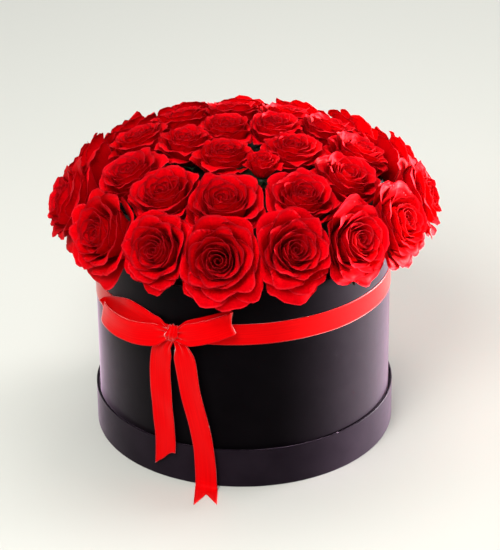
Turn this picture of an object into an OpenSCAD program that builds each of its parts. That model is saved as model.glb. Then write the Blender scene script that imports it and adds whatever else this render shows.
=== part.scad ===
// Round flower box: a covered hat box standing in its own upturned lid,
// tied with a satin ribbon and filled with roses in wet foam.
// Millimetres, +Z up, front towards -Y, origin at the centre of the underside.

/* [Lid, turned over as a tray] */
// Outer diameter of the lid
lid_d = 256.4; // [255.6:0.2:262]
// Height of the lid, from its panel to the edge of its rim
lid_h = 35.6; // [25:0.2:45]
// Thickness of the lid's board
lid_wall = 2; // [1.5:0.1:2.4]

/* [Box] */
// Outer diameter of the box wall
box_d = 250; // [249:0.5:251]
// Height of the box wall
box_h = 180; // [170:1:190]
// Thickness of the box wall's board
box_wall_t = 2; // [1.5:0.1:2.4]
// Thickness of the board disc in the bottom
box_bottom_t = 3; // [2:0.5:4]

/* [Liner and foam] */
// Outer diameter of the waterproof liner at its mouth
liner_d = 243; // [238:0.5:244]
// Height of the liner
liner_h = 160; // [145:1:165]
// Thickness of the liner's film
liner_t = 1.2; // [0.8:0.1:1.5]
// Diameter of the foam blocks
foam_d = 232; // [228:1:234]
// Height of the lower foam block
lower_foam_h = 78; // [60:1:85]
// Height of the upper foam block
upper_foam_h = 89; // [75:1:92]
// Width of the slope round the upper foam block's top edge
foam_slope = 22; // [5:1:30]

/* [Ribbon] */
// Width of the ribbon
ribbon_w = 19; // [15:0.5:22]
// Thickness of the ribbon round the box
ribbon_t = 0.5; // [0.4:0.1:0.6]
// Thickness of the ribbon in the bow and tails, with its crinkles
bow_t = 0.8; // [0.6:0.1:1.2]
// Height of the band's centre over the table, on the box's axis
band_z = 137; // [115:1:145]
// Rise of the band towards the front, in degrees
band_pitch = 2.9; // [0:0.1:3.5]
// Rise of the band towards the right, in degrees
band_roll = 1.1; // [0:0.1:2]
// Compass angle of the knot, from the front towards the right
knot_angle = -26.5; // [-28:0.5:-25]
// Radius of the knot
knot_r = 5.5; // [4.5:0.1:5.5]
// Height of the knot
knot_h = 15; // [10:0.5:15]

/* [Roses] */
// Radius of the outer ring of blooms, at the centres of their faces
outer_ring_r = 145; // [143:0.5:147]
// Height of a face in the middle of the dome over the table
dome_z = 263; // [258:0.5:268]
// How much lower the outer ring's faces are
dome_drop = 41; // [36:0.5:44]
// Lean of the outer ring's faces, from looking straight up
edge_lean = 58; // [52:0.5:62]
// Length of a bloom as a share of its width
bloom_length = 0.8; // [0.7:0.02:0.82]
// Diameter of a stem
stem_d = 5; // [4:0.2:5.4]
// Height of the cut stem tips over the table
stem_tip_z = 105; // [95:1:120]

/* [Hidden] */
fine = 96;
medium = 48;
fit_gap = 0.1;

// Each rose, set by hand as a florist sets it: [compass angle from the front
// towards the right, radius of its face's centre, width of its bloom]
OUTER = [[-8, 146, 57], [18, 141, 52], [41, 145, 51], [62.5, 148, 50], [85, 152, 50],
    [109, 151, 51], [133, 147, 51], [157, 145, 51], [180, 145, 51], [203, 145, 51],
    [226, 146, 51], [250, 149, 52], [276, 151, 50], [306, 148, 54], [330, 145, 49]];
MIDDLE = [[-10, 90, 54], [33, 95, 50], [66, 98, 48], [98, 104, 46], [127, 98, 46],
    [156, 96, 46], [185, 96, 46], [214, 97, 46], [246, 98, 46], [285, 100, 48], [316, 96, 52]];
CROWN = [[-35, 24, 42], [24, 42, 26], [78, 44, 42], [143, 47, 40], [200, 36, 40], [258, 48, 40]];
// Falling away from the middle, the dome drops as a cube and its faces lean out a little slower
drop_power = 3;
lean_power = 2.6;
// Radius of a cut stem's tip as a share of its face's radius
tip_share = 0.65;

box_r = box_d / 2;
lid_r = lid_d / 2;
box_z = lid_wall;
box_top = box_z + box_h;
floor_z = box_z + box_bottom_t;
lower_foam_z = floor_z + liner_t + fit_gap;
upper_foam_z = lower_foam_z + lower_foam_h;
liner_draft = 2;
band_r = box_r + fit_gap;
knot_axis_r = band_r + ribbon_t + fit_gap + knot_r;
knot_z = band_z + sin(band_pitch) * box_r * cos(knot_angle) + sin(band_roll) * box_r * sin(knot_angle);

// The bow's paths, as [compass angle, radius, height] of the ribbon's centre line.
LOOP_LEFT = [[-31, 133, 138.5], [-36, 135, 136], [-42, 136.6, 133.5], [-49, 137.2, 132],
    [-55, 136.2, 131.5], [-60, 134, 131.5], [-62.4, 131.8, 132.5], [-62.2, 129.6, 134.5],
    [-59, 127.9, 138], [-54, 127.4, 142], [-48, 127.2, 145.5], [-42, 127.4, 144.5],
    [-36, 128, 141.5], [-31.5, 129.4, 141.5]];
LOOP_RIGHT = [[-22, 132.8, 142], [-17, 134, 145.5], [-11, 134.2, 150.5], [-6, 133, 155],
    [-4, 130.8, 157], [-5.5, 128.6, 156], [-10, 127.5, 152], [-16, 127.5, 147], [-21.5, 129.4, 143.5]];
// The tails' paths, as [x, y, height] of the centre line, down to the cut end.
TAIL_SHORT = [[-62, -114.6, 133], [-65.6, -113.2, 127], [-68, -111.5, 117], [-69, -111, 102],
    [-68.5, -111.5, 82], [-67, -112, 57], [-66, -112.5, 37], [-66.5, -113.5, 22]];
TAIL_LONG = [[-52.6, -120, 133], [-50, -121.4, 127], [-47.8, -122.2, 115], [-44, -123, 87],
    [-38, -124.6, 59], [-34.8, -126, 40], [-33.4, -126.8, 24], [-32.9, -127.4, 12],
    [-32.8, -128.8, 5], [-32.9, -132, 1.6], [-33, -137.5, 0.6], [-33.6, -153.6, 0.6]];
// How far the left edge, middle and right edge of a cut end run on.
SLANT_CUT = [5.5, -1, -5];
NOTCH_CUT = [2, -14, -1];

LID_COLOUR = [0.06, 0.055, 0.06];
BOX_COLOUR = [0.08, 0.07, 0.08];
RIBBON_COLOUR = [0.87, 0.02, 0.04];
ROSE_COLOUR = [0.78, 0.01, 0.03];

// ---- shared shapes ----

// A round wall: outer radius, thickness, foot and top heights
module tube(r, t, z0, z1) {
    translate([0, 0, z0])
        difference() {
            cylinder(r = r, h = z1 - z0, $fn = fine);
            translate([0, 0, -1])
                cylinder(r = r - t, h = z1 - z0 + 2, $fn = fine);
        }
}

// Compass angle, radius and height as a point
function polar(p) = [p[1] * sin(p[0]), -p[1] * cos(p[0]), p[2]];
function unit(v) = v / norm(v);
function tangent(path, i) =
    unit(path[min(i + 1, len(path) - 1)] - path[max(i - 1, 0)]);
// Level direction along the wall, towards the right, at a point
function along_wall(p) = unit([-p[1], p[0], 0]);
// Share of the full width near a gathered end
function gather(i) = min(1, 0.4 + 0.3 * i);

// The six corners of a ribbon's section: outer left, middle, right, then inner right to left
function section(path, i, side, width, cut) =
    let (t = tangent(path, i), n = unit(cross(side, t)))
    [for (c = [[-1, 1], [0, 1], [1, 1], [1, -1], [0, -1], [-1, -1]])
        path[i] + side * c[0] * width / 2 + n * c[1] * bow_t / 2 + t * cut[c[0] + 1]];

// Triangles of one band between two sections
function band_faces(i) =
    [for (k = [0:5]) let (a = 6 * i + k, b = 6 * i + (k + 1) % 6)
        each [[a, b + 6, b], [a, a + 6, b + 6]]];

// A strip of ribbon swept along sections of six corners each
module strip(sections) {
    last = 6 * (len(sections) - 1);
    polyhedron(
        points = [for (s = sections) each s],
        faces = concat(
            [for (i = [0:len(sections) - 2]) each band_faces(i)],
            [[0, 1, 4, 5], [1, 2, 3, 4]],
            [[last + 5, last + 4, last + 1, last], [last + 4, last + 3, last + 2, last + 1]]));
}

// A hanging tail, as wide as the wall direction below the knot, gathered at the top
module tail(path, cut) {
    n = len(path);
    side = along_wall(path[0]);
    strip([for (i = [0:n - 1])
        section(path, i, side, ribbon_w * gather(i), i == n - 1 ? cut : [0, 0, 0])]);
}

// A bow loop standing on edge, gathered at both ends
module loop(polar_path) {
    path = [for (p = polar_path) polar(p)];
    n = len(path);
    strip([for (i = [0:n - 1])
        section(path, i, [0, 0, 1], ribbon_w * min(gather(i), gather(n - 1 - i)), [0, 0, 0])]);
}

// A bloom standing on its calyx, widest near its face
module bloom(d) {
    r = d / 2;
    h = d * bloom_length;
    rotate_extrude($fn = medium)
        polygon([[0, 0], [0.2 * r, 0], [0.45 * r, 0.12 * h], [0.78 * r, 0.5 * h], [r, 0.82 * h],
            [0.93 * r, 0.93 * h], [0.55 * r, h], [0, h]]);
}

// A rose, in the plane through the box's axis at its compass angle:
// the bloom looks out along its lean, and the stem runs down into the foam
module rose(seat) {
    face_r = seat[1];
    face_z = dome_z - dome_drop * pow(face_r / outer_ring_r, drop_power);
    lean = edge_lean * pow(face_r / outer_ring_r, lean_power);
    bloom_l = seat[2] * bloom_length;
    calyx_r = face_r - bloom_l * sin(lean);
    calyx_z = face_z - bloom_l * cos(lean);
    tip_r = face_r * tip_share;
    stem_lean = atan2(calyx_r - tip_r, calyx_z - stem_tip_z);
    stem_l = norm([calyx_r - tip_r, calyx_z - stem_tip_z]);
    color(ROSE_COLOUR)
        rotate([0, 0, seat[0] - 90]) {
            translate([calyx_r, 0, calyx_z])
                rotate([0, lean, 0])
                    bloom(seat[2]);
            translate([calyx_r, 0, calyx_z])
                sphere(d = stem_d * 1.3, $fn = medium);
            translate([tip_r, 0, stem_tip_z])
                rotate([0, stem_lean, 0])
                    cylinder(d = stem_d, h = stem_l, $fn = medium);
        }
}

// ---- lid ----

module lid_rim() {
    color(LID_COLOUR)
        tube(lid_r, lid_wall, 0, lid_h);
}

module lid_panel() {
    color(LID_COLOUR)
        cylinder(r = lid_r - lid_wall, h = lid_wall, $fn = fine);
}

// ---- box ----

module box_wall() {
    color(BOX_COLOUR)
        tube(box_r, box_wall_t, box_z, box_top);
}

module box_bottom() {
    color(BOX_COLOUR)
        translate([0, 0, box_z])
            cylinder(r = box_r - box_wall_t - fit_gap, h = box_bottom_t, $fn = fine);
}

// The ribbon round the box: a slice of a thin tube between two tilted planes
module ribbon_band() {
    color(RIBBON_COLOUR)
        intersection() {
            tube(band_r + ribbon_t, ribbon_t, band_z - 3 * ribbon_w, band_z + 3 * ribbon_w);
            translate([0, 0, band_z])
                rotate([-band_pitch, -band_roll, 0])
                    cube([2 * box_d, 2 * box_d, ribbon_w], center = true);
        }
}

module bow_knot() {
    color(RIBBON_COLOUR)
        translate(polar([knot_angle, knot_axis_r, knot_z - knot_h / 2]))
            rotate_extrude($fn = medium)
                polygon([[0, 0], [0.7 * knot_r, 0], [0.92 * knot_r, 0.12 * knot_h],
                    [knot_r, 0.5 * knot_h], [0.92 * knot_r, 0.88 * knot_h],
                    [0.7 * knot_r, knot_h], [0, knot_h]]);
}

module bow_loop_left() {
    color(RIBBON_COLOUR)
        loop(LOOP_LEFT);
}

module bow_loop_right() {
    color(RIBBON_COLOUR)
        loop(LOOP_RIGHT);
}

module tail_short() {
    color(RIBBON_COLOUR)
        tail(TAIL_SHORT, SLANT_CUT);
}

module tail_long() {
    color(RIBBON_COLOUR)
        tail(TAIL_LONG, NOTCH_CUT);
}

// ---- arrangement ----

module waterproof_liner() {
    r = liner_d / 2;
    color([0.03, 0.03, 0.03])
        translate([0, 0, floor_z])
            rotate_extrude($fn = fine)
                polygon([[0, 0], [r - liner_draft, 0], [r, liner_h], [r - liner_t, liner_h],
                    [r - liner_draft - liner_t, liner_t], [0, liner_t]]);
}

module foam_lower() {
    color([0.12, 0.35, 0.16])
        translate([0, 0, lower_foam_z])
            cylinder(d = foam_d, h = lower_foam_h, $fn = fine);
}

module foam_upper() {
    r = foam_d / 2;
    color([0.14, 0.4, 0.18])
        translate([0, 0, upper_foam_z])
            rotate_extrude($fn = fine)
                polygon([[0, 0], [r, 0], [r, upper_foam_h - foam_slope / 2],
                    [r - foam_slope, upper_foam_h], [0, upper_foam_h]]);
}

// ---- nodes ----

// Each ring of roses: the start of its nodes' names, then its seats
RINGS = [["rose_outer_", OUTER], ["rose_middle_", MIDDLE], ["rose_crown_", CROWN]];
function rose_name(ring, i) = str(ring[0], i < 9 ? "0" : "", i + 1);

lid_rim();
lid_panel();
box_wall();
box_bottom();
ribbon_band();
bow_knot();
bow_loop_left();
bow_loop_right();
tail_short();
tail_long();
waterproof_liner();
foam_lower();
foam_upper();
for (ring = RINGS, i = [0:len(ring[1]) - 1])
    rose(ring[1][i]);
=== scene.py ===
"""Flower box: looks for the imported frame. Every length is in metres, front towards -Y, +Z up."""

import math

import bpy
import numpy as np
from mathutils import Matrix, Vector


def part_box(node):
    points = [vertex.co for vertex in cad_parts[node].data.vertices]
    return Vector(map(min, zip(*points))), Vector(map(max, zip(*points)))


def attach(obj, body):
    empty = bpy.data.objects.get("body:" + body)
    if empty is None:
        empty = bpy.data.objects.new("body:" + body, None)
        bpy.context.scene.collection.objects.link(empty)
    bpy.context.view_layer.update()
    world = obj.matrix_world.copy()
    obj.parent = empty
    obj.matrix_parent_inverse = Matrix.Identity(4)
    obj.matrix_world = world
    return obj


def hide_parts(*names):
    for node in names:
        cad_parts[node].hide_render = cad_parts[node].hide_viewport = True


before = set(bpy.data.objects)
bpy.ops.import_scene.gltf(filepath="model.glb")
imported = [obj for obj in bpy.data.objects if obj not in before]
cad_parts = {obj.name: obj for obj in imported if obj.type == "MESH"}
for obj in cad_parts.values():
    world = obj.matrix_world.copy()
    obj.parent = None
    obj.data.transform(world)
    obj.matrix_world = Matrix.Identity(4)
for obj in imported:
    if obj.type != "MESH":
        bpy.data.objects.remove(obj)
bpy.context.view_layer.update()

MM = 0.001
UP = np.array([0.0, 0.0, 1.0])

# ---- the frame's own places ----


def radius_of(node):
    """Outer radius of a round node"""
    low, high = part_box(node)
    return (high.x - low.x) / 2


BOX_R = radius_of("box_wall")
BOX_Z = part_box("box_wall")[0].z
BOX_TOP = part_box("box_wall")[1].z
LID_R = radius_of("lid_rim")
LID_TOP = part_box("lid_rim")[1].z
BAND_R = radius_of("ribbon_band")
BOARD = 2 * MM

# The seats of the roses, as in the part: [compass angle from the front towards the right,
# radius of the face's centre, width of the bloom], both in millimetres
SEATS = {
    "outer": [
        [-8, 146, 57], [18, 141, 52], [41, 145, 51], [62.5, 148, 50], [85, 152, 50],
        [109, 151, 51], [133, 147, 51], [157, 145, 51], [180, 145, 51], [203, 145, 51],
        [226, 146, 51], [250, 149, 52], [276, 151, 50], [306, 148, 54], [330, 145, 49],
    ],
    "middle": [
        [-10, 90, 54], [33, 95, 50], [66, 98, 48], [98, 104, 46], [127, 98, 46], [156, 96, 46],
        [185, 96, 46], [214, 97, 46], [246, 98, 46], [285, 100, 48], [316, 96, 52],
    ],
    "crown": [[-35, 24, 42], [24, 42, 26], [78, 44, 42], [143, 47, 40], [200, 36, 40], [258, 48, 40]],
}
OUTER_RING_R = 145 * MM
DOME_Z = 263 * MM
DOME_DROP = 41 * MM
DROP_POWER = 3
EDGE_LEAN = math.radians(58)
LEAN_POWER = 2.6
BLOOM_LENGTH = 0.8
STEM_TIP_Z = 105 * MM
STEM_TIP_SHARE = 0.65
STEM_R = 2.5 * MM

# The ribbon's places, close to the part's: knots run on into the knot at each end
RIBBON_W = 19 * MM
BAND_Z = 137 * MM
BAND_PITCH = math.radians(2.9)
BAND_ROLL = math.radians(1.1)
KNOT_ANGLE = -26.5
LOOP_LEFT = [
    [-27.5, 131.6, 140.5], [-31, 133, 138.5], [-36, 135, 136], [-42, 136.6, 134.2], [-49, 137.2, 133.8],
    [-55, 136.2, 134.2], [-60, 134, 134], [-62.4, 131.8, 134.5], [-62.2, 129.6, 136],
    [-59, 127.9, 138.5], [-54, 127.4, 142], [-48, 127.2, 145.5], [-42, 127.4, 144.5], [-36, 128, 141.5],
    [-31.5, 129.4, 141.5], [-27.5, 130.6, 141.5],
]
LOOP_RIGHT = [
    [-25.5, 131.6, 141], [-22, 132.8, 142], [-17, 134, 145.5], [-11, 134.2, 150.5], [-6, 133, 155],
    [-4, 130.8, 157], [-5.5, 128.6, 156], [-10, 127.5, 152], [-16, 127.5, 147], [-21.5, 129.4, 143.5],
    [-25.5, 130.6, 142],
]
TAIL_SHORT = [
    [-59.5, -116.5, 138], [-62, -114.6, 133], [-65.6, -113.2, 127], [-68, -111.5, 117], [-69, -111, 102],
    [-68.5, -111.5, 82], [-67, -112, 57], [-66, -112.5, 37], [-66.5, -113.5, 22],
]
TAIL_LONG = [
    [-55, -119, 138], [-52.6, -120, 133], [-50, -121.4, 127], [-47.8, -122.2, 115], [-44, -123, 87],
    [-38, -124.6, 59], [-34.8, -126, 40], [-33.4, -126.8, 24], [-32.9, -127.4, 12], [-32.8, -128.8, 5],
    [-32.9, -132, 1.6], [-33, -137.5, 0.6], [-33.6, -153.6, 0.6],
]


def compass(angle, radius, height):
    """The point at a compass angle in degrees from the front towards the right"""
    a = math.radians(angle)
    return np.array([radius * math.sin(a), -radius * math.cos(a), height])


def ease(x):
    """0 to 1 with a soft start and end"""
    x = np.clip(x, 0.0, 1.0)
    return x * x * (3 - 2 * x)


def unit(v):
    return v / np.maximum(np.linalg.norm(v, axis=-1, keepdims=True), 1e-12)


# ---- meshes ----


def make_piece(name, points, face_lists, body, nodes, material):
    """A smooth mesh piece that rides on a body and stands for CAD nodes. Each array in
    face_lists holds faces with one number of corners"""
    mesh = bpy.data.meshes.new(name)
    mesh.vertices.add(len(points))
    mesh.vertices.foreach_set("co", np.asarray(points, np.float32).ravel())
    corners = np.concatenate([f.ravel() for f in face_lists]).astype(np.int32)
    sizes = np.concatenate([np.full(len(f), f.shape[1]) for f in face_lists]).astype(np.int32)
    mesh.loops.add(len(corners))
    mesh.loops.foreach_set("vertex_index", corners)
    mesh.polygons.add(len(sizes))
    mesh.polygons.foreach_set("loop_start", (np.cumsum(sizes) - sizes).astype(np.int32))
    mesh.polygons.foreach_set("loop_total", sizes)
    mesh.update(calc_edges=True)
    mesh.polygons.foreach_set("use_smooth", np.ones(len(sizes), bool))
    mesh.materials.append(material)
    piece = bpy.data.objects.new(name, mesh)
    bpy.context.scene.collection.objects.link(piece)
    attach(piece, body)
    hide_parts(*nodes)
    return piece


def add_vectors(piece, name, values):
    """A vector at each point, for the material to read"""
    attribute = piece.data.attributes.new(name, "FLOAT_VECTOR", "POINT")
    attribute.data.foreach_set("vector", np.asarray(values, np.float32).ravel())


def grid_quads(rows, columns, wrap_rows=False, wrap_columns=False):
    """Faces of a grid of points, row by row"""
    index = np.arange(rows * columns).reshape(rows, columns)
    if wrap_rows:
        index = np.concatenate([index, index[:1]])
    if wrap_columns:
        index = np.concatenate([index, index[:, :1]], axis=1)
    quads = [index[:-1, :-1], index[:-1, 1:], index[1:, 1:], index[1:, :-1]]
    return np.stack(quads, axis=-1).reshape(-1, 4)


def closed_sheet(rows, columns):
    """Faces of a thin closed leaf whose upper grid of points is followed by its lower one"""
    count = rows * columns
    quads = grid_quads(rows, columns)
    index = np.arange(count).reshape(rows, columns)
    loop = np.concatenate([index[:-1, 0], index[-1, :-1], index[:0:-1, -1], index[0, :0:-1]])
    after = np.roll(loop, -1)
    rim = np.stack([loop, after, after + count, loop + count], axis=-1)
    return np.concatenate([quads[:, ::-1], quads + count, rim])


def grid_normals(grid):
    return unit(np.cross(np.gradient(grid, axis=0), np.gradient(grid, axis=1)))


def both_sides(grid, offset):
    """The upper points of a thin leaf, then its lower ones"""
    return np.concatenate([(grid + offset).reshape(-1, 3), (grid - offset).reshape(-1, 3)])


def rounded(corners, steps=6, guard=0.4 * MM):
    """A closed outline with each corner [r, z, rounding radius] rounded off. A point just
    past each end of a rounding keeps the shading of the flats flat"""
    outline = []
    count = len(corners)
    for i in range(count):
        before, here, after = (np.array(corners[(i + k) % count][:2], float) for k in (-1, 0, 1))
        r = corners[i][2]
        to_before, to_after = unit(before - here), unit(after - here)
        if r <= 0:
            outline.append(here)
            continue
        start, end = here + to_before * r, here + to_after * r
        centre = here + (to_before + to_after) * r
        outline.append(start + to_before * guard)
        for k in range(steps + 1):
            a = k / steps * math.pi / 2
            outline.append(centre - to_after * r * math.cos(a) - to_before * r * math.sin(a))
        outline.append(end + to_after * guard)
    return np.array(outline)


def turned(name, outline, body, nodes, material, angles, shape):
    """A piece turned round the Z axis from a closed outline of [r, z] points, counter-clockwise
    in a picture with r to the right. shape moves the points: it gets r, z and the angle"""
    r = np.repeat(outline[None, :, 0], len(angles), axis=0)
    z = np.repeat(outline[None, :, 1], len(angles), axis=0)
    a = np.repeat(angles[:, None], len(outline), axis=1)
    r, z = shape(r, z, a)
    points = np.stack([r * np.cos(a), r * np.sin(a), z], axis=-1).reshape(-1, 3)
    quads = grid_quads(len(angles), len(outline), wrap_rows=True, wrap_columns=True)[:, ::-1]
    return make_piece(name, points, [quads], body, nodes, material)


def capped(name, r, z, angles, low, high, body, node, material):
    """A piece turned round the Z axis from a row of r and z at each angle, which runs from the
    middle of its underside to the middle of its top, at the heights low and high"""
    a = angles[:, None]
    points = np.stack([r * np.cos(a), r * np.sin(a), z], axis=-1).reshape(-1, 3)
    points = np.concatenate([points, [[0, 0, low], [0, 0, high]]])
    count = z.shape[1]
    quads = grid_quads(len(angles), count, wrap_rows=True)[:, ::-1]
    first = np.arange(len(angles)) * count
    following = np.roll(first, -1)
    last = count - 1
    low_middle = np.full(len(angles), len(points) - 2)
    high_middle = np.full(len(angles), len(points) - 1)
    low_fan = np.stack([low_middle, following, first], axis=-1)
    high_fan = np.stack([high_middle, first + last, following + last], axis=-1)
    make_piece(name, points, [quads, low_fan, high_fan], body, [node], material)


# ---- materials ----


class Shader:
    """A material under construction, with short calls for its nodes"""

    def __init__(self, name, **sockets):
        self.material = bpy.data.materials.new(name)
        self.material.use_nodes = True
        self.tree = self.material.node_tree
        self.bsdf = self.tree.nodes["Principled BSDF"]
        self.out = self.tree.nodes["Material Output"]
        for socket, value in sockets.items():
            self.bsdf.inputs[socket.replace("_", " ")].default_value = value

    def node(self, kind, settings=None, **inputs):
        made = self.tree.nodes.new("ShaderNode" + kind)
        for key, value in (settings or {}).items():
            setattr(made, key, value)
        for key, value in inputs.items():
            self.put(made.inputs[key.replace("_", " ")], value)
        return made

    def put(self, socket, value):
        if isinstance(value, bpy.types.NodeSocket):
            self.tree.links.new(value, socket)
        else:
            socket.default_value = value

    def set(self, socket, value):
        self.put(self.bsdf.inputs[socket], value)

    def place(self, stretch=(1, 1, 1)):
        """Object coordinates, stretched"""
        at = self.node("TexCoord").outputs["Object"]
        return self.node("Mapping", Vector=at, Scale=stretch).outputs[0]

    def attribute(self, name):
        return self.node("Attribute", {"attribute_name": name}).outputs["Vector"]

    def noise(self, where, scale, detail=3.0, roughness=0.55):
        made = self.node("TexNoise", Vector=where, Scale=scale, Detail=detail, Roughness=roughness)
        return made.outputs["Fac"]

    def remap(self, value, low, high, to_low, to_high):
        made = self.node("MapRange", Value=value)
        for key, number in zip((1, 2, 3, 4), (low, high, to_low, to_high)):
            self.put(made.inputs[key], number)
        return made.outputs[0]

    def ramp(self, value, stops):
        made = self.node("ValToRGB", Fac=value)
        elements = made.color_ramp.elements
        while len(elements) < len(stops):
            elements.new(0.5)
        for element, (position, colour) in zip(elements, stops):
            element.position = position
            element.color = (*colour, 1)
        return made.outputs["Color"]

    def mix(self, share, a, b):
        made = self.node("Mix", {"data_type": "RGBA"})
        self.put(made.inputs[0], share)
        self.put(made.inputs[6], (*a, 1) if isinstance(a, tuple) else a)
        self.put(made.inputs[7], (*b, 1) if isinstance(b, tuple) else b)
        return made.outputs[2]

    def math(self, operation, a, b=0.0):
        made = self.node("Math", {"operation": operation})
        self.put(made.inputs[0], a)
        self.put(made.inputs[1], b)
        return made.outputs[0]

    def bump(self, height, strength, distance):
        made = self.node("Bump", Height=height, Strength=strength, Distance=distance)
        return made.outputs[0]


def paper(name, dark, light, edges, gloss, sheen):
    """Black covering paper: fine grain, faint mottling, and a little wear at the heights in edges.
    gloss is its specular level, and sheen is the soft shine of its sides seen at a slant"""
    s = Shader(name, Specular_IOR_Level=gloss, Sheen_Weight=sheen, Sheen_Roughness=0.28)
    s.set("Specular Tint", (0.045, 0.032, 0.045, 1))
    s.set("Sheen Tint", (1.0, 0.70, 0.97, 1))
    at = s.place()
    mottle = s.noise(at, 38, 4)
    grain = s.noise(at, 1700, 2, 0.7)
    colour = s.ramp(mottle, [(0.3, dark), (0.75, light)])
    height = s.node("SeparateXYZ", Vector=at).outputs["Z"]
    for edge in edges:
        near = s.math("ABSOLUTE", s.math("SUBTRACT", height, edge))
        worn = s.math("MULTIPLY", s.remap(near, 0, 0.9 * MM, 0.5, 0), s.noise(at, 160, 4))
        colour = s.mix(worn, colour, (0.055, 0.05, 0.055))
    s.set("Base Color", colour)
    s.set("Roughness", s.remap(s.noise(at, 90, 3), 0.3, 0.7, 0.34, 0.42))
    s.set("Normal", s.bump(grain, 0.25, 0.06 * MM))
    return s.material


def satin():
    """Red satin: fine warp threads along the ribbon, a woven selvedge, and a directional shine"""
    s = Shader(
        "ribbon_satin", Anisotropic=0.45, Specular_IOR_Level=0.16, Sheen_Weight=0.9, Sheen_Roughness=0.26
    )
    s.set("Sheen Tint", (1.0, 0.80, 0.75, 1))
    s.set("Specular Tint", (1.0, 0.05, 0.05, 1))
    strip = s.attribute("strip")
    parts = s.node("SeparateXYZ", Vector=strip)
    along, across = parts.outputs["X"], parts.outputs["Y"]
    stretched = s.node("Mapping", Vector=strip, Scale=(18, 900, 1)).outputs[0]
    threads = s.noise(stretched, 1.0, 2, 0.6)
    slub = s.noise(s.node("Mapping", Vector=strip, Scale=(700, 40, 1)).outputs[0], 1.0, 2)
    colour = s.ramp(threads, [(0.3, (0.66, 0.0, 0.001)), (0.7, (0.76, 0.0005, 0.002))])
    rim = s.math("ABSOLUTE", across)
    selvedge = s.remap(rim, RIBBON_W / 2 - 1.0 * MM, RIBBON_W / 2 - 0.7 * MM, 0, 1)
    picks = s.node("TexWave", {"bands_direction": "X"}, Vector=strip, Scale=1500, Distortion=0.5)
    colour = s.mix(s.math("MULTIPLY", selvedge, 0.3), colour, (0.50, 0.0, 0.004))
    s.set("Base Color", colour)
    s.set("Roughness", s.remap(slub, 0.3, 0.7, 0.28, 0.38))
    fine = s.math("ADD", threads, s.math("MULTIPLY", selvedge, picks.outputs["Fac"]))
    s.set("Normal", s.bump(fine, 0.14, 0.05 * MM))
    return s.material


def petals_material():
    """Rose petals: dark at the foot and bright towards the rim as painted shade deep in the bloom, a paler
    very edge as a painted highlight, and faint veins
    """
    s = Shader("rose_petal", Specular_IOR_Level=0.035, Sheen_Weight=0.02, Sheen_Roughness=0.4)
    s.set("Specular Tint", (1.0, 0.12, 0.2, 1))
    s.set("Sheen Tint", (1.0, 0.06, 0.12, 1))
    place = s.attribute("petal_place")  # s across, t along, a number for each petal
    kind = s.attribute("petal_kind")  # distance from the rim, layer, a number for each rose
    t = s.node("SeparateXYZ", Vector=place).outputs["Y"]
    chance = s.node("SeparateXYZ", Vector=place).outputs["Z"]
    kinds = s.node("SeparateXYZ", Vector=kind)
    rim, layer, rose = kinds.outputs["X"], kinds.outputs["Y"], kinds.outputs["Z"]
    veins = s.noise(s.node("Mapping", Vector=place, Scale=(16, 1.6, 9)).outputs[0], 1.0, 4, 0.6)
    # painted shade: near black at each petal's foot and bright red at its rim, for the shade deep inside
    # the bloom
    colour = s.ramp(t, [(0.0, (0.03, 0.0, 0.0004)), (0.42, (0.62, 0.0, 0.0015)), (0.9, (0.85, 0.0, 0.003))])
    # darker veins, strongest on the inner petals: the veins are the petal's own, and the extra darkness in
    # the heart is painted shade
    veins_and_heart_shade = s.math("MULTIPLY", s.remap(veins, 0.35, 0.7, 0.35, 0), s.remap(layer, 0, 1, 1, 0.6))
    colour = s.mix(veins_and_heart_shade, colour, (0.36, 0.0, 0.002))
    colour = s.mix(s.remap(chance, 0, 1, 0.0, 0.22), colour, (0.60, 0.0, 0.006))
    colour = s.mix(s.remap(rose, 0, 1, 0.0, 0.10), colour, (0.68, 0.0, 0.018))
    # painted highlight: a paler, pinker line along each petal's edge, for light catching the curled rims
    colour = s.mix(s.remap(rim, 0.0, 0.05, 0.5, 0), colour, (0.93, 0.026, 0.045))
    s.set("Base Color", colour)
    s.set("Roughness", s.remap(veins, 0.3, 0.7, 0.5, 0.66))
    s.set("Normal", s.bump(veins, 0.4, 0.25 * MM))
    through = s.node("BsdfTranslucent", Color=colour)
    mixed = s.node("MixShader", Fac=0.18)
    s.put(mixed.inputs[1], s.bsdf.outputs[0])
    s.put(mixed.inputs[2], through.outputs[0])
    s.put(s.out.inputs["Surface"], mixed.outputs[0])
    return s.material


def green_material():
    """Stems, sepals and leaves: dark green with fine streaks and a few lighter patches"""
    s = Shader("rose_green", Specular_IOR_Level=0.35)
    at = s.place()
    streaks = s.noise(s.place((1, 1, 0.15)), 900, 3)
    patches = s.noise(at, 130, 3)
    colour = s.ramp(streaks, [(0.3, (0.003, 0.010, 0.003)), (0.7, (0.008, 0.022, 0.005))])
    colour = s.mix(s.remap(patches, 0.60, 0.78, 0, 0.35), colour, (0.05, 0.10, 0.02))
    s.set("Base Color", colour)
    s.set("Roughness", s.remap(patches, 0.3, 0.7, 0.42, 0.6))
    s.set("Normal", s.bump(streaks, 0.4, 0.15 * MM))
    return s.material


def foam_material():
    """Wet floral foam: fine open pores, darker where it holds more water"""
    s = Shader("wet_foam", Specular_IOR_Level=0.5)
    at = s.place()
    pores = s.node("TexVoronoi", Vector=at, Scale=900).outputs["Distance"]
    wet = s.noise(at, 45, 4)
    colour = s.ramp(wet, [(0.3, (0.006, 0.040, 0.012)), (0.7, (0.016, 0.08, 0.025))])
    # painted shade: the pores are mixed towards near black for the shade inside the open holes, and the
    # foam is darker where it is wetter
    colour = s.mix(s.remap(pores, 0.0, 0.35, 0.7, 0), colour, (0.004, 0.02, 0.006))
    s.set("Base Color", colour)
    s.set("Roughness", s.remap(wet, 0.3, 0.7, 0.5, 0.85))
    s.set("Normal", s.bump(pores, 0.7, 0.4 * MM))
    return s.material


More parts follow.
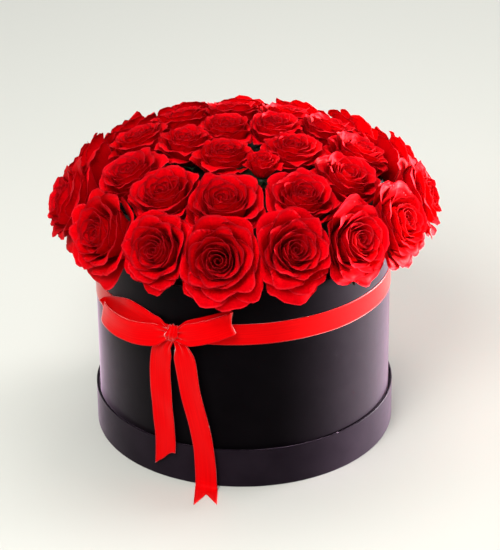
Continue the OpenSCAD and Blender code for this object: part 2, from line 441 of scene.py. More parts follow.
def film_material():
    """Waterproof liner film: black, a little wrinkled and glossy"""
    s = Shader("liner_film", Specular_IOR_Level=0.5)
    at = s.place()
    wrinkle = s.noise(s.place((1, 1, 0.25)), 75, 3)
    colour = s.ramp(s.noise(at, 25, 3), [(0.3, (0.010, 0.011, 0.011)), (0.7, (0.022, 0.023, 0.023))])
    s.set("Base Color", colour)
    s.set("Roughness", s.remap(wrinkle, 0.3, 0.7, 0.18, 0.34))
    s.set("Normal", s.bump(wrinkle, 0.35, 0.8 * MM))
    return s.material


# painted reflection: the lid paper's base colour is several times lighter than the box paper's, for the
# pale floor that the lid reflects close to it
LID_PAPER = paper("lid_paper", (0.0095, 0.0062, 0.0097), (0.0150, 0.0102, 0.0150), (0.0,), 0.06, 0.42)
BOX_PAPER = paper("box_paper", (0.0008, 0.0006, 0.0008), (0.0018, 0.0014, 0.0018), (BOX_TOP,), 0.10, 1.0)
SATIN = satin()
PETALS = petals_material()
GREEN = green_material()
FOAM = foam_material()
FILM = film_material()

# ---- box and lid ----

BACK = math.radians(90)  # the seams are at the back, towards +Y
LAP = math.radians(6)
LAP_STEP = 0.3 * MM


def seam_angles():
    """Even angles round the axis, with a few more at the step of the seam"""
    even = np.linspace(0, 2 * math.pi, 288, endpoint=False)
    step = BACK + np.radians([-0.12, -0.04, 0.04, 0.12])
    far = even[np.abs(even - BACK) > math.radians(0.4)]
    return np.sort(np.concatenate([far, step]))


def with_seam(outer_r):
    """Lifts the outer face of a paper-covered wall where the sheet's end laps over its start"""

    def shape(r, z, a):
        lap = ease((a - (BACK - LAP)) / (0.3 * LAP)) * (a < BACK)
        return r + LAP_STEP * lap * (r > outer_r - 0.3 * MM), z

    return shape


def build_lid():
    turn_in = 12 * MM
    inner = LID_R - BOARD
    fold = 0.25 * MM
    outline = rounded(
        [
            [inner, BOARD, 0.1 * MM],
            [LID_R, 0.0, 0.7 * MM],
            [LID_R, LID_TOP, 0.5 * MM],
            [inner - fold, LID_TOP, 1.6 * MM],
            [inner - fold, LID_TOP - turn_in, 0.1 * MM],
            [inner, LID_TOP - turn_in, 0.1 * MM],
        ]
    )
    # The foot of the wall stands on the table, outside the panel
    foot = outline[:, 1] < 1.2 * BOARD
    outline[foot, 0] = np.maximum(outline[foot, 0], inner)
    turned(
        "lid_rim_covered", outline, "lid_tray", ["lid_rim"], LID_PAPER,
        seam_angles(), with_seam(LID_R),
    )
    build_disc("lid_panel_covered", inner, 0.0, BOARD, "lid_tray", "lid_panel", LID_PAPER)


def build_disc(name, radius, low, high, body, node, material):
    """A covered board disc with rounded edges, closed at the middle"""
    edge = rounded([[0, low, 0], [radius, low, 0.5 * MM], [radius, high, 0.5 * MM], [0, high, 0]])
    ring = edge[1:-1]
    inward = [[radius * k, low] for k in (0.35, 0.7)]
    outward = [[radius * k, high] for k in (0.7, 0.35)]
    rows = np.concatenate([inward, ring, outward])
    angles = np.linspace(0, 2 * math.pi, 192, endpoint=False)
    z = np.repeat(rows[None, :, 1], len(angles), axis=0)
    capped(name, rows[None, :, 0], z, angles, low, high, body, node, material)


def build_box():
    turn_in = 15 * MM
    inner = BOX_R - BOARD
    fold = 0.25 * MM
    outline = rounded(
        [
            [inner, BOX_Z, 0.3 * MM],
            [BOX_R, BOX_Z, 0.6 * MM],
            [BOX_R, BOX_TOP, 0.8 * MM],
            [inner - fold, BOX_TOP, 0.8 * MM],
            [inner - fold, BOX_TOP - turn_in, 0.1 * MM],
            [inner, BOX_TOP - turn_in, 0.1 * MM],
        ]
    )
    turned(
        "box_wall_covered", outline, "box", ["box_wall"], BOX_PAPER,
        seam_angles(), with_seam(BOX_R),
    )
    low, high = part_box("box_bottom")
    build_disc(
        "box_bottom_covered", radius_of("box_bottom"), low.z, high.z, "box", "box_bottom",
        BOX_PAPER,
    )


# ---- liner and foam ----


def build_liner():
    """The formed film tub: a draft, soft ribs up its side and a bead round its mouth"""
    low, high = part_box("waterproof_liner")
    r = radius_of("waterproof_liner")
    draft, film, lip = 2 * MM, 1.2 * MM, 2.2 * MM
    foot = r - draft
    wall = []
    ribs = 60
    for k in range(ribs + 1):
        share = k / ribs
        rib = 0.35 * MM * math.cos(share * 2 * math.pi * 9) * math.sin(math.pi * share)
        height = low.z + 5 * MM + share * (high.z - low.z - 9 * MM)
        wall.append([foot + (draft - 0.4 * MM) * share + rib, height])
    outside = [
        [0.35 * foot, low.z], [0.7 * foot, low.z], [foot - 5 * MM, low.z],
        [foot - 2 * MM, low.z + 0.6 * MM], [foot - 0.4 * MM, low.z + 2.4 * MM], *wall,
    ]
    bead = [
        [r - 0.2 * MM, high.z - 2.6 * MM], [r, high.z - 1.6 * MM], [r - 0.2 * MM, high.z - 0.5 * MM],
        [r - 0.9 * MM, high.z], [r - lip, high.z - 0.6 * MM], [r - lip - 0.1 * MM, high.z - 2 * MM],
    ]
    inside = [[p[0] - film, max(p[1], low.z + film)] for p in reversed(outside)]
    rows = np.array([*outside, *bead, *inside])
    angles = np.linspace(0, 2 * math.pi, 192, endpoint=False)
    z = np.repeat(rows[None, :, 1], len(angles), axis=0)
    capped(
        "liner_tub", rows[None, :, 0], z, angles, low.z, low.z + film, "arrangement", "waterproof_liner",
        FILM,
    )


def build_foam(name, node, slope):
    """A foam block, cut by hand: its faces wander a little and its top edge is shaved off"""
    low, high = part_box(node)
    r = radius_of(node)
    rows = [[r * k, low.z] for k in (0.2, 0.4, 0.6, 0.8, 0.95)]
    rows.append([r - 1.5 * MM, low.z])
    rows += [[r, z] for z in np.linspace(low.z + 1.5 * MM, high.z - slope / 2 - 1.5 * MM, 14)]
    rows += [[r - slope * k, high.z - slope / 2 * (1 - k)] for k in np.linspace(0.1, 0.95, 6)]
    rows += [[(r - slope) * k, high.z] for k in (0.97, 0.8, 0.6, 0.4, 0.2)]
    rows = np.array(rows)
    angles = np.linspace(0, 2 * math.pi, 160, endpoint=False)
    radial = np.repeat(rows[None, :, 0], len(angles), axis=0)
    z = np.repeat(rows[None, :, 1], len(angles), axis=0)
    a = np.repeat(angles[:, None], len(rows), axis=1)
    cut = 0.45 * MM * (np.sin(9 * a + 160 * z) + 0.6 * np.sin(23 * a - 310 * z))
    side = (rows[:, 0] > 0.9 * r)[None, :]
    radial = radial - np.abs(cut) * side
    z = z - np.abs(0.4 * MM * np.sin(5 * a + 90 * radial)) * (rows[:, 1] > high.z - slope / 2)[None, :]
    capped(
        name, radial, z, angles, low.z, high.z - 0.3 * MM, "arrangement", node, FOAM
    )


# ---- ribbon ----

ACROSS = 17  # points across the ribbon
RIBBON_T = 0.32 * MM
LOOP_GATHER = 14 * MM  # over this length a loop narrows into the knot
TAIL_GATHER = 22 * MM  # and over this one a tail widens below the knot


def smooth_path(knots, spacing):
    """Evenly spaced points on a smooth curve through the knots, with each one's place among
    the knots as a fraction of an index, and its distance along"""
    p = np.asarray(knots, float)
    p = np.concatenate([[2 * p[0] - p[1]], p, [2 * p[-1] - p[-2]]])
    fine = np.linspace(0, 1, 40, endpoint=False)[:, None]
    pieces, index = [], []
    for i in range(1, len(p) - 2):
        a, b, c, d = p[i - 1 : i + 3]
        square, cube = 2 * a - 5 * b + 4 * c - d, 3 * b - a - 3 * c + d
        pieces.append(0.5 * (2 * b + (c - a) * fine + square * fine**2 + cube * fine**3))
        index.append(i - 1 + fine[:, 0])
    curve = np.concatenate([*pieces, p[-2:-1]])
    index = np.append(np.concatenate(index), len(knots) - 1.0)
    along = np.concatenate([[0], np.cumsum(np.linalg.norm(np.diff(curve, axis=0), axis=1))])
    count = max(4, int(round(along[-1] / spacing)))
    at = np.linspace(0, along[-1], count + 1)
    points = np.stack([np.interp(at, along, curve[:, k]) for k in range(3)], axis=-1)
    return points, np.interp(at, along, index), at


def strip_piece(name, centre, side, normal, width, along, body, node, relief,
                cut=None, closed=False):
    """A ribbon along centre: side is the direction of its width and normal that of its face,
    width its width at each point. relief is how far each point is lifted along the normal, and
    cut gives how far its end runs on at each v from -1 to 1 across"""
    rows = len(centre)
    v = np.linspace(-1, 1, ACROSS)
    # The cloth as it was cut: places along and across, for the weave
    flat_along = np.repeat(along[:, None], ACROSS, axis=1)
    flat_across = np.repeat(v[None, :] * RIBBON_W / 2, rows, axis=0)
    grid = centre[:, None, :] + side[:, None, :] * (width[:, None] * v[None, :] / 2)[..., None]
    grid = grid + normal[:, None, :] * relief[..., None]
    grid[..., 2] = np.maximum(grid[..., 2], 0.4 * MM)  # the cloth lies on the table, not in it
    if cut is not None:
        reach = 18 * MM  # the part of the end over which the cut's shape fades in
        fade = ease((along - (along[-1] - reach)) / reach)[:, None]
        forward = unit(centre[-1] - centre[-2])
        grid = grid + forward * (fade * cut(v)[None, :])[..., None]
    edge = 1 + 0.5 * (np.abs(v) > 0.93)
    out = unit(np.cross(np.gradient(grid, axis=1), np.gradient(grid, axis=0)))
    flip = np.sign(np.sum(out * normal[:, None, :], axis=-1, keepdims=True))
    out = out * np.where(flip == 0, 1, flip)
    half = RIBBON_T / 2 * edge[None, :, None]
    points = both_sides(grid, out * half)
    sheet_quads = grid_quads(rows, ACROSS, wrap_rows=closed)
    under_quads = sheet_quads[:, ::-1] + rows * ACROSS
    index = np.arange(rows * ACROSS).reshape(rows, ACROSS)
    loops = []
    if closed:
        loops.append(np.append(index[:, 0], index[0, 0]))
        loops.append(np.append(index[:, -1], index[0, -1])[::-1])
    else:
        around = np.concatenate([index[:, 0], index[-1, 1:], index[-2::-1, -1], index[0, -2::-1]])
        loops.append(around)
    rims = []
    for loop in loops:
        a, b = loop[:-1], loop[1:]
        rims.append(np.stack([a, b, b + rows * ACROSS, a + rows * ACROSS], axis=-1))
    faces = np.concatenate([sheet_quads, under_quads, *rims])
    first = points[faces[0]]
    facing = np.cross(first[1] - first[0], first[2] - first[0]) @ out[0, 0]
    if facing < 0:
        faces = faces[:, ::-1]
    piece = make_piece(name, points, [faces], body, [node], SATIN)
    places = np.stack([flat_along, flat_across, np.zeros_like(flat_along)], axis=-1).reshape(-1, 3)
    add_vectors(piece, "strip", np.concatenate([places, places]))


def build_band():
    """The ribbon pulled tight round the box, a little higher at the front and on the right"""
    count = 420
    angle = np.linspace(0, 2 * math.pi, count, endpoint=False)
    r = BOX_R + 0.35 * MM
    x, y = r * np.cos(angle), r * np.sin(angle)
    z = BAND_Z + math.tan(BAND_ROLL) * x - math.tan(BAND_PITCH) * y
    centre = np.stack([x, y, z], axis=-1)
    normal = np.stack([np.cos(angle), np.sin(angle), np.zeros(count)], axis=-1)
    along = np.append(0, np.cumsum(np.linalg.norm(np.diff(centre, axis=0), axis=1)))
    forward = unit(np.roll(centre, -1, axis=0) - np.roll(centre, 1, axis=0))
    side = unit(np.cross(normal, forward))
    v = np.linspace(-1, 1, ACROSS)[None, :]
    # The edges lift a hair where the satin isn't quite smooth, and the knot gathers it into pleats
    lift = 0.10 * MM * (1 + np.sin(13 * angle + 1)[:, None]) * np.abs(v) ** 3
    away = np.degrees(angle) - 270 - KNOT_ANGLE
    away = (away + 180) % 360 - 180
    gathered = 0.62 * np.exp(-np.abs(away / np.where(away < 0, 13.0, 8.0)) ** 3)
    lift = lift + 0.7 * MM * gathered[:, None] * (1 + np.cos(4.6 * math.pi * v + 1))
    strip_piece(
        "band_ribbon", centre, side, normal, RIBBON_W * (1 - gathered), along, "box", "ribbon_band",
        lift, closed=True,
    )


def swept(name, knots, side_at, face_at, gathers, node, seed, cup=0.0, wave=0.4 * MM,
          cut=None, flatten_from=None, tip=None):
    """A length of ribbon that follows knots. side_at and face_at give the width direction and the
    outer side for the points, gathers the lengths over which the start and end are pleated into the
    knot. At the knot number tip a loop is pinched a little"""
    rng = np.random.default_rng(seed)
    centre, index, along = smooth_path(knots, 1.6 * MM)
    total = along[-1]
    forward = unit(np.gradient(centre, axis=0))
    side = side_at(centre, index, forward)
    side = unit(side - forward * np.sum(side * forward, axis=-1, keepdims=True))
    normal = unit(np.cross(forward, side))
    outward = face_at(centre, index)
    sign = np.where(np.sum(normal * outward, axis=-1, keepdims=True) < 0, -1.0, 1.0)
    # One side stays the face all along, whichever way the curve turns
    sign = np.full_like(sign, sign[len(sign) // 3, 0])
    normal = normal * sign
    spread = np.ones(len(along))
    if gathers[0]:
        spread = np.minimum(spread, 0.45 + 0.55 * ease(along / gathers[0]))
    if gathers[1]:
        spread = np.minimum(spread, 0.45 + 0.55 * ease((total - along) / gathers[1]))
    v = np.linspace(-1, 1, ACROSS)[None, :]
    closed_up = (1 - spread)[:, None]
    phase = rng.uniform(0, 2 * math.pi, 6)
    pleats = 3.2 * MM * closed_up * np.cos(2.5 * math.pi * v + phase[0] + 12 * along[:, None])
    u = along[:, None] / total
    drift = wave * (
        np.sin(2 * math.pi * (1.3 * u + 0.35 * v) + phase[1])
        + 0.6 * np.sin(2 * math.pi * (2.9 * u - 0.3 * v) + phase[2])
        + 0.35 * v * np.sin(2 * math.pi * 5.1 * u + phase[3])
    )
    bowl = cup * (v**2 - 0.4)
    relief = pleats + (drift + bowl) * spread[:, None]
    if tip is not None:
        bend = np.exp(-(((index - tip) / 1.3) ** 2))
        relief = relief * (1 - bend)[:, None]
        spread = spread * (1 - 0.18 * bend)
    if flatten_from is not None:
        relief = relief * (1 - ease((index - flatten_from) / 2.0))[:, None]
    strip_piece(
        name, centre, side, normal, RIBBON_W * spread, along, "box", node, relief, cut
    )


def build_bow():
    """The two loops on edge, the two hanging tails and the knot over them"""

    def outward(centre, _index):
        flat = centre * np.array([1, 1, 0])
        return unit(flat)

    def upright(centre, _index, _forward):
        # The strands' upper edges lean in towards the box
        return unit(UP - 0.2 * outward(centre, _index))

    def level(centre, _index, _forward):
        start = unit(np.array([-centre[0, 1], centre[0, 0], 0.0]))
        return np.repeat(start[None, :], len(centre), axis=0)

    def metres(knots):
        return [compass(k[0], k[1] * MM, k[2] * MM) for k in knots]

    both_ends, top_end = (LOOP_GATHER, LOOP_GATHER), (TAIL_GATHER, 0)
    swept("bow_left_ribbon", metres(LOOP_LEFT), upright, outward, both_ends, "bow_loop_left",
          11, cup=0.4 * MM, wave=0.4 * MM, tip=7.5)
    swept("bow_right_ribbon", metres(LOOP_RIGHT), upright, outward, both_ends, "bow_loop_right",
          12, cup=0.5 * MM, wave=0.3 * MM)

    def slant(v):
        """The hurried slanting cut of the short tail: lower on its left, with a small step"""
        return (-5.4 * v - 1.6 * np.sin(math.pi * v) + 3.0 * np.exp(-(((v + 1) / 0.25) ** 2))) * MM

    def notch(v):
        """The swallow-tail cut of the long tail"""
        return -16.5 * MM * (1 - np.abs(v - 0.03)) + 2 * MM

    swept("tail_short_ribbon", np.array(TAIL_SHORT) * MM, level, outward, top_end, "tail_short",
          13, cup=0.5 * MM, wave=0.35 * MM, cut=slant)
    swept("tail_long_ribbon", np.array(TAIL_LONG) * MM, level, outward, top_end, "tail_long",
          14, cup=0.5 * MM, wave=0.3 * MM, cut=notch,
          flatten_from=9.0)
    build_knot()


def build_knot():
    """The ribbon wrapped once round the gathered bow, creased lengthways"""
    radial = compass(KNOT_ANGLE, 1.0, 0.0)
    along_wall = compass(KNOT_ANGLE + 90, 1.0, 0.0)
    low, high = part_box("bow_knot")
    middle = compass(KNOT_ANGLE, BAND_R + 5.6 * MM, (low.z + high.z) / 2)
    count = 72
    turn = np.linspace(0, 2 * math.pi, count, endpoint=False)
    tall, veins_and_heart_shade = 7.0 * MM, 4.4 * MM
    squash = 1 + 0.07 * np.cos(3 * turn + 0.6) + 0.05 * np.cos(5 * turn)
    out = (veins_and_heart_shade * np.cos(turn) * squash)[:, None] * radial
    centre = middle + out + (tall * np.sin(turn) * squash)[:, None] * UP
    forward = unit(np.roll(centre, -1, axis=0) - np.roll(centre, 1, axis=0))
    side = np.repeat(along_wall[None, :], count, axis=0)
    # The wrap runs a little askew
    centre = centre + (1.2 * MM * np.cos(turn) + 1.7 * MM * np.sin(turn))[:, None] * along_wall
    normal = unit(np.cross(forward, side))
    normal = normal * np.sign(np.sum(normal * (centre - middle), axis=-1, keepdims=True))
    along = np.append(0, np.cumsum(np.linalg.norm(np.diff(centre, axis=0), axis=1)))
    v = np.linspace(-1, 1, ACROSS)[None, :]
    creases = 0.75 * MM * np.cos(3.4 * math.pi * v + 1.3 * np.sin(turn + 0.8)[:, None])
    creases = creases + 0.45 * MM * np.cos(5 * math.pi * v - 2 * turn[:, None])
    belly = -1.8 * MM * v**2
    width = 10.5 * MM * (1 + 0.16 * np.cos(2 * turn + 0.7))
    strip_piece(
        "knot_ribbon", centre, side, normal, width, along, "box", "bow_knot",
        creases + belly, closed=True,
    )


# ---- roses ----

GOLDEN = math.radians(137.5)
PETAL_COUNT = 34
SMALL_PETAL_COUNT = 20
SMALL_BLOOM = 35 * MM  # a bloom up to this width has fewer petals
PETAL_T = 0.45 * MM
LEAF_HALF = 0.2  # half the thickness of leaves and sepals, in millimetres
# How a petal's numbers run from the heart of a bloom to its guard petals
STATIONS = (0.0, 0.2, 0.4, 0.6, 0.8, 1.0)
RIM_RADIUS = (0.05, 0.18, 0.35, 0.54, 0.75, 1.00)  # share of the bloom's radius
RIM_HEIGHT = (0.88, 0.97, 1.00, 0.98, 0.90, 0.62)  # share of the bloom's length
HALF_ANGLE = (150, 112, 84, 66, 56, 50)  # half of what the petal wraps, in degrees
PETAL_LEAN = (0, 3, 8, 14, 24, 42)  # in degrees
PETAL_ROLL = (-14, 4, 40, 74, 100, 118)  # how far the rim rolls over, in degrees
ROLL_FROM = (0.84, 0.84, 0.83, 0.80, 0.74, 0.62)  # share of the petal's length
SPIRAL = (0.34, 0.20, 0.13, 0.10, 0.08, 0.06)  # how far one edge stands outside the other
BLOOM_SPREAD = 1.52  # guard petals reach past the bloom's firm body
WALL_CLEAR = 1.6 * MM  # petals and leaves keep this far from the box
RIM_SLOPE = 0.8  # how steeply a leaf may fall outside the wall, as fall over reach
SEPALS = 5
LEAVES = 4  # on each stem


def petal_grid(layer, turn, radius, length, droop, rng, across=17, along=15):
    """One petal of a bloom that stands on the origin and looks along +Z, as a grid of points,
    with where each one is on the petal. layer runs from 0 in the heart to 1 outside"""

    def at(table):
        return float(np.interp(layer, STATIONS, table))

    s = np.linspace(-1, 1, across)[:, None]
    t = np.linspace(0, 1, along)[None, :]
    corner = 0.10 + 0.22 * layer
    point = (0.02 + 0.09 * layer) * rng.uniform(0.3, 1.4)
    reach = 1 - corner * np.abs(s) ** 3 + point * np.exp(-((s / 0.26) ** 2)) - point
    tt = t * reach
    lean = math.radians(at(PETAL_LEAN) + (rng.uniform(-4, 4) + 32 * droop) * layer)
    roll = math.radians(at(PETAL_ROLL) * rng.uniform(0.7, 1.2))
    start = at(ROLL_FROM) - 0.10 * layer * s**2
    foot = math.radians(70)
    body = foot * (1 - ease(tt / 0.42)) + lean * ease(tt / 0.5)
    rolled = body + roll * (1 + 0.25 * s**2) * ease((tt - start) / (1.02 - start)) ** 1.3
    step = np.diff(tt, axis=1)

    def travel(angle):
        middle = 0.5 * (angle[:, 1:] + angle[:, :-1])
        out, up = np.zeros_like(tt), np.zeros_like(tt)
        out[:, 1:] = np.cumsum(np.sin(middle) * step, axis=1)
        up[:, 1:] = np.cumsum(np.cos(middle) * step, axis=1)
        return out, up

    body_out, _ = travel(body)
    out, up = travel(rolled)
    rim_z = at(RIM_HEIGHT) * length * rng.uniform(0.975, 1.02)
    foot_z, foot_r = 0.06 * length, 0.06 * radius
    size = min((rim_z - foot_z) / max(up.max(), 0.2), 1.12 * length)
    rim_r = at(RIM_RADIUS) * radius * rng.uniform(0.95, 1.05)
    stretch = (rim_r - foot_r) / (body_out[across // 2, -1] * size)
    r = foot_r + stretch * size * body_out + size * (out - body_out)
    z = foot_z + size * up
    r = r * (1 + at(SPIRAL) * s * ease(tt * 2.2))
    wave = (0.25 + 1.35 * layer) * MM
    phase = rng.uniform(0, 2 * math.pi, 4)
    r = r + wave * (
        np.sin(2.1 * math.pi * s + phase[0]) * tt**2
        + 0.5 * np.sin(4.3 * math.pi * s + phase[1]) * tt**4
    )
    z = z + wave * (
        0.8 * np.sin(1.7 * math.pi * s + phase[2]) * tt**3
        + 0.5 * np.sin(5.1 * math.pi * s + phase[3]) * tt**5
    )
    half = math.radians(at(HALF_ANGLE) * rng.uniform(0.92, 1.08))
    a = turn + half * s * (0.55 + 0.45 * ease(tt / 0.5))
    points = np.stack([r * np.cos(a), r * np.sin(a), z], axis=-1)
    rim = np.minimum(1 - np.abs(s), 1 - t) + 0 * tt
    chance = np.full_like(tt, rng.uniform())
    place = np.stack([s + 0 * tt, tt, chance], axis=-1)
    kind = np.stack([rim, np.full_like(tt, layer), 0 * tt], axis=-1)
    return points, place, kind


def bloom_frame(seat):
    """Where a bloom sits: its foot, axis and outward direction, its width and length, and its
    stem's tip"""
    angle, face_mm, width_mm = seat
    face_r = face_mm * MM
    share = face_r / OUTER_RING_R
    lean = EDGE_LEAN * share**LEAN_POWER
    radial = compass(angle, 1.0, 0.0)
    axis = radial * math.sin(lean) + UP * math.cos(lean)
    down = radial * math.cos(lean) - UP * math.sin(lean)
    face = radial * face_r + UP * (DOME_Z - DOME_DROP * share**DROP_POWER)
    width = width_mm * MM
    length = width * BLOOM_LENGTH
    # At the left and right the outer ring is fuller and sags a little
    front = float(ease((math.cos(math.radians(angle)) + 0.75) / 0.9)) if share > 0.9 else 0.0
    side = math.sin(math.radians(angle)) ** 2 * front
    face = face + (radial * (3.0 + 3.0 * (angle < 180)) - UP * 2.0) * MM * side
    tip = radial * face_r * STEM_TIP_SHARE + UP * STEM_TIP_Z
    return {
        "foot": face - axis * length, "axis": axis, "down": down, "width": width,
        "length": length * (1 + 0.10 * front), "lean": lean, "tip": tip,
        "middle": face - axis * length * 0.42, "spread": BLOOM_SPREAD + 0.20 * side,
    }


BLOOMS = {
    f"rose_{ring}_{i + 1:02d}": bloom_frame(seat)
    for ring, seats in SEATS.items()
    for i, seat in enumerate(seats)
}


def press_together(points, name):
    """Holds a bloom back where it meets its neighbours: each point that comes near the plane
    halfway to another bloom is slowed down, and hardly passes it, as petals slip between petals"""
    own = BLOOMS[name]
    soft = 8.5 * MM
    for other_name, other in BLOOMS.items():
        between = other["middle"] - own["middle"]
        gap = np.linalg.norm(between)
        if other_name == name or gap > 90 * MM:
            continue
        n = between / gap
        limit = gap * own["width"] / (own["width"] + other["width"]) + 1.8 * MM
        past = (points - own["middle"]) @ n - limit + soft
        slowed = soft * (1 - np.exp(-np.maximum(past, 0) / soft))
        points = points - n * (np.maximum(past, 0) - slowed)[..., None]
    return points


def keep_off_wall(points):
    """Lifts a petal that would cut into the box over its edge, or pushes it out in front of it"""
    flat = np.linalg.norm(points[..., :2], axis=-1)
    top = BOX_TOP + WALL_CLEAR
    clear_r = BOX_R + WALL_CLEAR
    low = points[..., 2] < top
    lift = top - points[..., 2]
    push = clear_r - flat
    inside = low & (push > 0)
    go_out = inside & (push < lift * 1.3)
    go_up = inside & ~go_out
    points = points.copy()
    factor = np.where(go_out, clear_r / np.maximum(flat, 1e-6), 1.0)
    points[..., 0] *= factor
    points[..., 1] *= factor
    points[..., 2] = np.where(go_up, top, points[..., 2])
    return points


def over_rim(points):
    """Lays a leaf or sepal over the top edge of the box, sloping down in front of the wall"""
    past = np.linalg.norm(points[..., :2], axis=-1) - BOX_R - WALL_CLEAR
    lowest = BOX_TOP + WALL_CLEAR - RIM_SLOPE * np.maximum(past, 0)
    points = points.copy()
    points[..., 2] = np.maximum(points[..., 2], lowest)
    return points


def build_petals(name, seed):
    """A bloom's petals in a spiral from its heart outwards, with what the material reads"""
    bloom = BLOOMS[name]
    rng = np.random.default_rng(seed)
    openness = rng.uniform(0.92, 1.2)
    start = rng.uniform(0, 2 * math.pi)
    tint = rng.uniform()
    count = PETAL_COUNT if bloom["width"] > SMALL_BLOOM else SMALL_PETAL_COUNT
    radius = bloom["width"] / 2 * bloom["spread"]
    side = np.cross(bloom["axis"], bloom["down"])
    frame_rows = np.stack([bloom["down"], side, bloom["axis"]])
    all_points, all_faces, all_places, all_kinds = [], [], [], []
    base = 0
    for i in range(count):
        layer = (i / (count - 1)) ** (1 / openness)
        turn = start + i * GOLDEN + rng.uniform(-0.14, 0.14)
        droop = max(0.0, math.cos(turn)) * math.sin(bloom["lean"])
        grid, place, kind = petal_grid(layer, turn, radius, bloom["length"], droop, rng)
        kind[..., 2] = tint
        grid = bloom["foot"] + grid @ frame_rows
        grid = keep_off_wall(press_together(grid, name))
        thin = 0.35 + 0.65 * ease(kind[..., :1] * 6)
        sides = both_sides(grid, grid_normals(grid) * PETAL_T / 2 * thin)
        all_points.append(sides)
        all_faces.append(closed_sheet(*grid.shape[:2]) + base)
        all_places += [place.reshape(-1, 3)] * 2
        all_kinds += [kind.reshape(-1, 3)] * 2
        base += len(sides)
    piece = make_piece(
        name + "_petals", np.concatenate(all_points), [np.concatenate(all_faces)], "arrangement", [name],
        PETALS,
    )
    add_vectors(piece, "petal_place", np.concatenate(all_places))
    add_vectors(piece, "petal_kind", np.concatenate(all_kinds))


def tube_points(path, radii, around):
    """Rings of points round a path"""
    forward = unit(np.gradient(path, axis=0))
    hint = np.array([0.3, 0.9, 0.1])
    side = unit(np.cross(forward, hint))
    other = np.cross(forward, side)
    a = np.linspace(0, 2 * math.pi, around, endpoint=False)
    ring = np.cos(a)[None, :, None] * side[:, None, :] + np.sin(a)[None, :, None] * other[:, None, :]
    return path[:, None, :] + ring * radii[:, None, None]


def around_stem(bloom, turn):
    """The directions away from the stem and across it, a turn about the bloom's axis"""
    axis, down = bloom["axis"], bloom["down"]
    out = down * math.cos(turn) + np.cross(axis, down) * math.sin(turn)
    return out, np.cross(axis, out)


def curled(bend, step):
    """How far a strip reaches out and rises along its length, as its bend from the axis changes"""
    reach = np.concatenate([[[0]], np.cumsum(np.sin(bend[:, 1:]) * step, axis=1)], axis=1)
    rise = np.concatenate([[[0]], np.cumsum(np.cos(bend[:, 1:]) * step, axis=1)], axis=1)
    return reach, rise


def leaf_grid(bloom, turn, k, rng):
    """A leaf on the stem under a bloom, which bends over the box's edge where it meets it"""
    axis = bloom["axis"]
    out, wide = around_stem(bloom, turn)
    length = rng.uniform(30, 38) * MM
    s = np.linspace(-1, 1, 9)[:, None]
    t = np.linspace(0, 1, 13)[None, :]
    bend = np.radians(88 - rng.uniform(20, 45) * np.sin(math.pi * t) + rng.uniform(-10, 25) * t)
    reach, rise = curled(bend, length / 12)
    half = 11 * MM * np.sin(math.pi * (0.04 + 0.96 * t) ** 0.85) + 0.2 * MM
    teeth = 1 + 0.05 * np.sin(40 * t) * np.abs(s)
    start = bloom["foot"] - axis * (2 + 5 * k) * MM + out * 2 * MM
    ripple = 1.2 * MM * np.sin(9 * t + k) * np.abs(s) + 2.2 * MM * np.abs(s)
    grid = (
        start + out * reach[..., None] + axis * (rise + ripple)[..., None]
        + wide * (half * teeth * s)[..., None]
    )
    return over_rim(grid)


def sepal_grid(bloom, turn, k, rng):
    """A sepal that curls back from the foot of a bloom"""
    out, wide = around_stem(bloom, turn)
    length = rng.uniform(15, 23) * MM
    s = np.linspace(-1, 1, 7)[:, None]
    t = np.linspace(0, 1, 15)[None, :]
    bend = np.radians(95 + rng.uniform(40, 85) * t**1.2)
    reach, rise = curled(bend, length / 14)
    half = 3.1 * MM * np.sin(math.pi * (0.16 + 0.84 * t) ** 0.8) ** 0.8 + 0.15 * MM
    fold = 0.9 * MM * s**2
    grid = (
        bloom["foot"] - bloom["axis"] * 1.0 * MM
        + out * (3.6 * MM + reach)[..., None]
        + bloom["axis"] * (rise + fold)[..., None]
        + wide * (half * s + 1.4 * MM * np.sin(3 * t + k) * t)[..., None]
    )
    return over_rim(grid)


def build_green(name, seed):
    """The stem, the hip under the bloom, five sepals that curl back from it, and leaves below"""
    bloom = BLOOMS[name]
    rng = np.random.default_rng(seed)
    foot, axis, tip = bloom["foot"], bloom["axis"], bloom["tip"]
    around = 14
    u = np.linspace(0, 1, 26)[:, None]
    handle = foot - axis * 25 * MM
    path = (1 - u) ** 2 * tip + 2 * u * (1 - u) * handle + u**2 * foot
    hip = np.exp(-(((u[:, 0] - 0.97) / 0.035) ** 2)) * 2.6 * MM
    radii = STEM_R * (1 + 0.05 * np.sin(40 * u[:, 0] + rng.uniform(0, 6))) + hip
    tube = tube_points(path, radii, around)
    points = [tube.reshape(-1, 3), tip[None, :], (foot + axis * 1.5 * MM)[None, :]]
    quads = [grid_quads(len(path), around, wrap_columns=True)]
    size = len(path) * around
    ring = np.arange(around)
    following = np.roll(ring, -1)
    last = size - around
    caps = [
        np.stack([np.full(around, size), following, ring], axis=-1),
        np.stack([np.full(around, size + 1), ring + last, following + last], axis=-1),
    ]
    start = rng.uniform(0, 2 * math.pi)
    grids = []
    for k in range(SEPALS):
        turn = start + k * 2 * math.pi / SEPALS + rng.uniform(-0.15, 0.15)
        grids.append(sepal_grid(bloom, turn, k, rng))
    for k in range(LEAVES):
        grids.append(leaf_grid(bloom, start + (k + 0.5) * 2 * math.pi / LEAVES, k, rng))
    base = size + len(caps)
    for grid in grids:
        sides = both_sides(grid, grid_normals(grid) * LEAF_HALF * MM)
        points.append(sides)
        quads.append(closed_sheet(*grid.shape[:2]) + base)
        base += len(sides)
    make_piece(
        name + "_stem", np.concatenate(points), [np.concatenate(quads), *caps], "arrangement", [name],
        GREEN,
    )


def build_roses():
    for i, name in enumerate(BLOOMS):
        build_petals(name, 100 + i)
        build_green(name, 500 + i)


# ---- surroundings ----


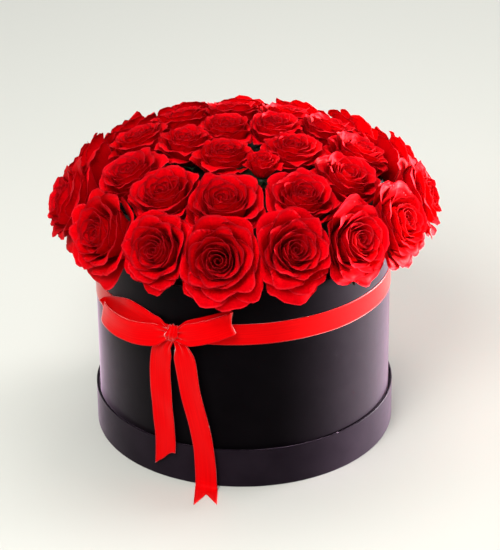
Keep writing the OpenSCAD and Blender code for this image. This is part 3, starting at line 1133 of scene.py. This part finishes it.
def build_floor():
    """A plain pale floor, with a hardly visible unevenness"""
    half = 6.0
    corners = [(-half, -half, 0), (half, -half, 0), (half, half, 0), (-half, half, 0)]
    mesh = bpy.data.meshes.new("floor")
    mesh.from_pydata(corners, [], [(0, 1, 2, 3)])
    floor = bpy.data.objects.new("floor", mesh)
    bpy.context.scene.collection.objects.link(floor)
    s = Shader("floor", Specular_IOR_Level=0.3)
    at = s.place()
    pale = [(0.2, (0.655, 0.662, 0.60)), (0.8, (0.675, 0.682, 0.62))]
    s.set("Base Color", s.ramp(s.noise(at, 2, 0), pale))
    s.set("Roughness", s.remap(s.noise(at, 3, 0), 0.2, 0.8, 0.46, 0.52))
    mesh.materials.append(s.material)


def area_light(name, place, target, size, watts, colour=(1, 1, 1)):
    """A rectangular lamp at a place, turned to a target"""
    data = bpy.data.lights.new(name, "AREA")
    data.shape = "RECTANGLE"
    data.size, data.size_y = size
    data.energy = watts
    data.color = colour
    lamp = bpy.data.objects.new(name, data)
    bpy.context.scene.collection.objects.link(lamp)
    lamp.location = place
    lamp.rotation_euler = (Vector(target) - Vector(place)).to_track_quat("-Z", "Y").to_euler()


def build_lights():
    """Soft studio light: a pale world, a key lamp and a weak one from above, and two low strip
    lamps far out at the sides, which give the paper its sheen"""
    world = bpy.data.worlds.new("studio")
    bpy.context.scene.world = world
    world.use_nodes = True
    background = world.node_tree.nodes["Background"]
    background.inputs["Color"].default_value = (0.97, 0.98, 1.0, 1)
    background.inputs["Strength"].default_value = 0.52
    area_light("key", (-0.45, -1.2, 1.45), (0, 0, 0.2), (0.8, 0.8), 28)
    area_light("right", (3.2, 1.25, 0.06), (0, 0, 0.06), (1.6, 0.1), 1060, (1.0, 0.955, 0.985))
    area_light("left", (-2.9, 1.8, 0.35), (0, 0, 0.10), (1.3, 0.3), 8, (1.0, 0.94, 1.0))
    area_light("top", (0.15, 0.30, 1.6), (0, 0, 0.2), (0.9, 0.9), 10)


def build_camera():
    """The photograph's viewpoint: 27.5 degrees down, from the front, with a hair of roll"""
    place = (0.0, -1.9724, 1.1607)
    yaw, down, roll = 0.003, 0.4806, 0.0111
    across = np.array([math.cos(yaw), -math.sin(yaw), 0.0])
    ahead = np.array([math.sin(yaw) * math.cos(down), math.cos(yaw) * math.cos(down), -math.sin(down)])
    above = np.cross(across, ahead)
    right = across * math.cos(roll) - above * math.sin(roll)
    up = above * math.cos(roll) + across * math.sin(roll)
    data = bpy.data.cameras.new("camera")
    data.lens = 170.65
    data.sensor_width = 36
    data.clip_end = 50
    camera = bpy.data.objects.new("camera", data)
    bpy.context.scene.collection.objects.link(camera)
    turn = Matrix([right, up, -ahead]).transposed().to_4x4()
    camera.matrix_world = Matrix.Translation(place) @ turn
    bpy.context.scene.camera = camera


build_camera()
build_lights()
build_floor()
build_lid()
build_box()
build_liner()
build_foam("foam_lower_block", "foam_lower", 2 * MM)
build_foam("foam_upper_block", "foam_upper", 22 * MM)
build_band()
build_bow()
build_roses()
bpy.context.scene.view_settings.view_transform = "Standard"
bpy.context.scene.view_settings.look = "None"

bpy.context.view_layer.update()
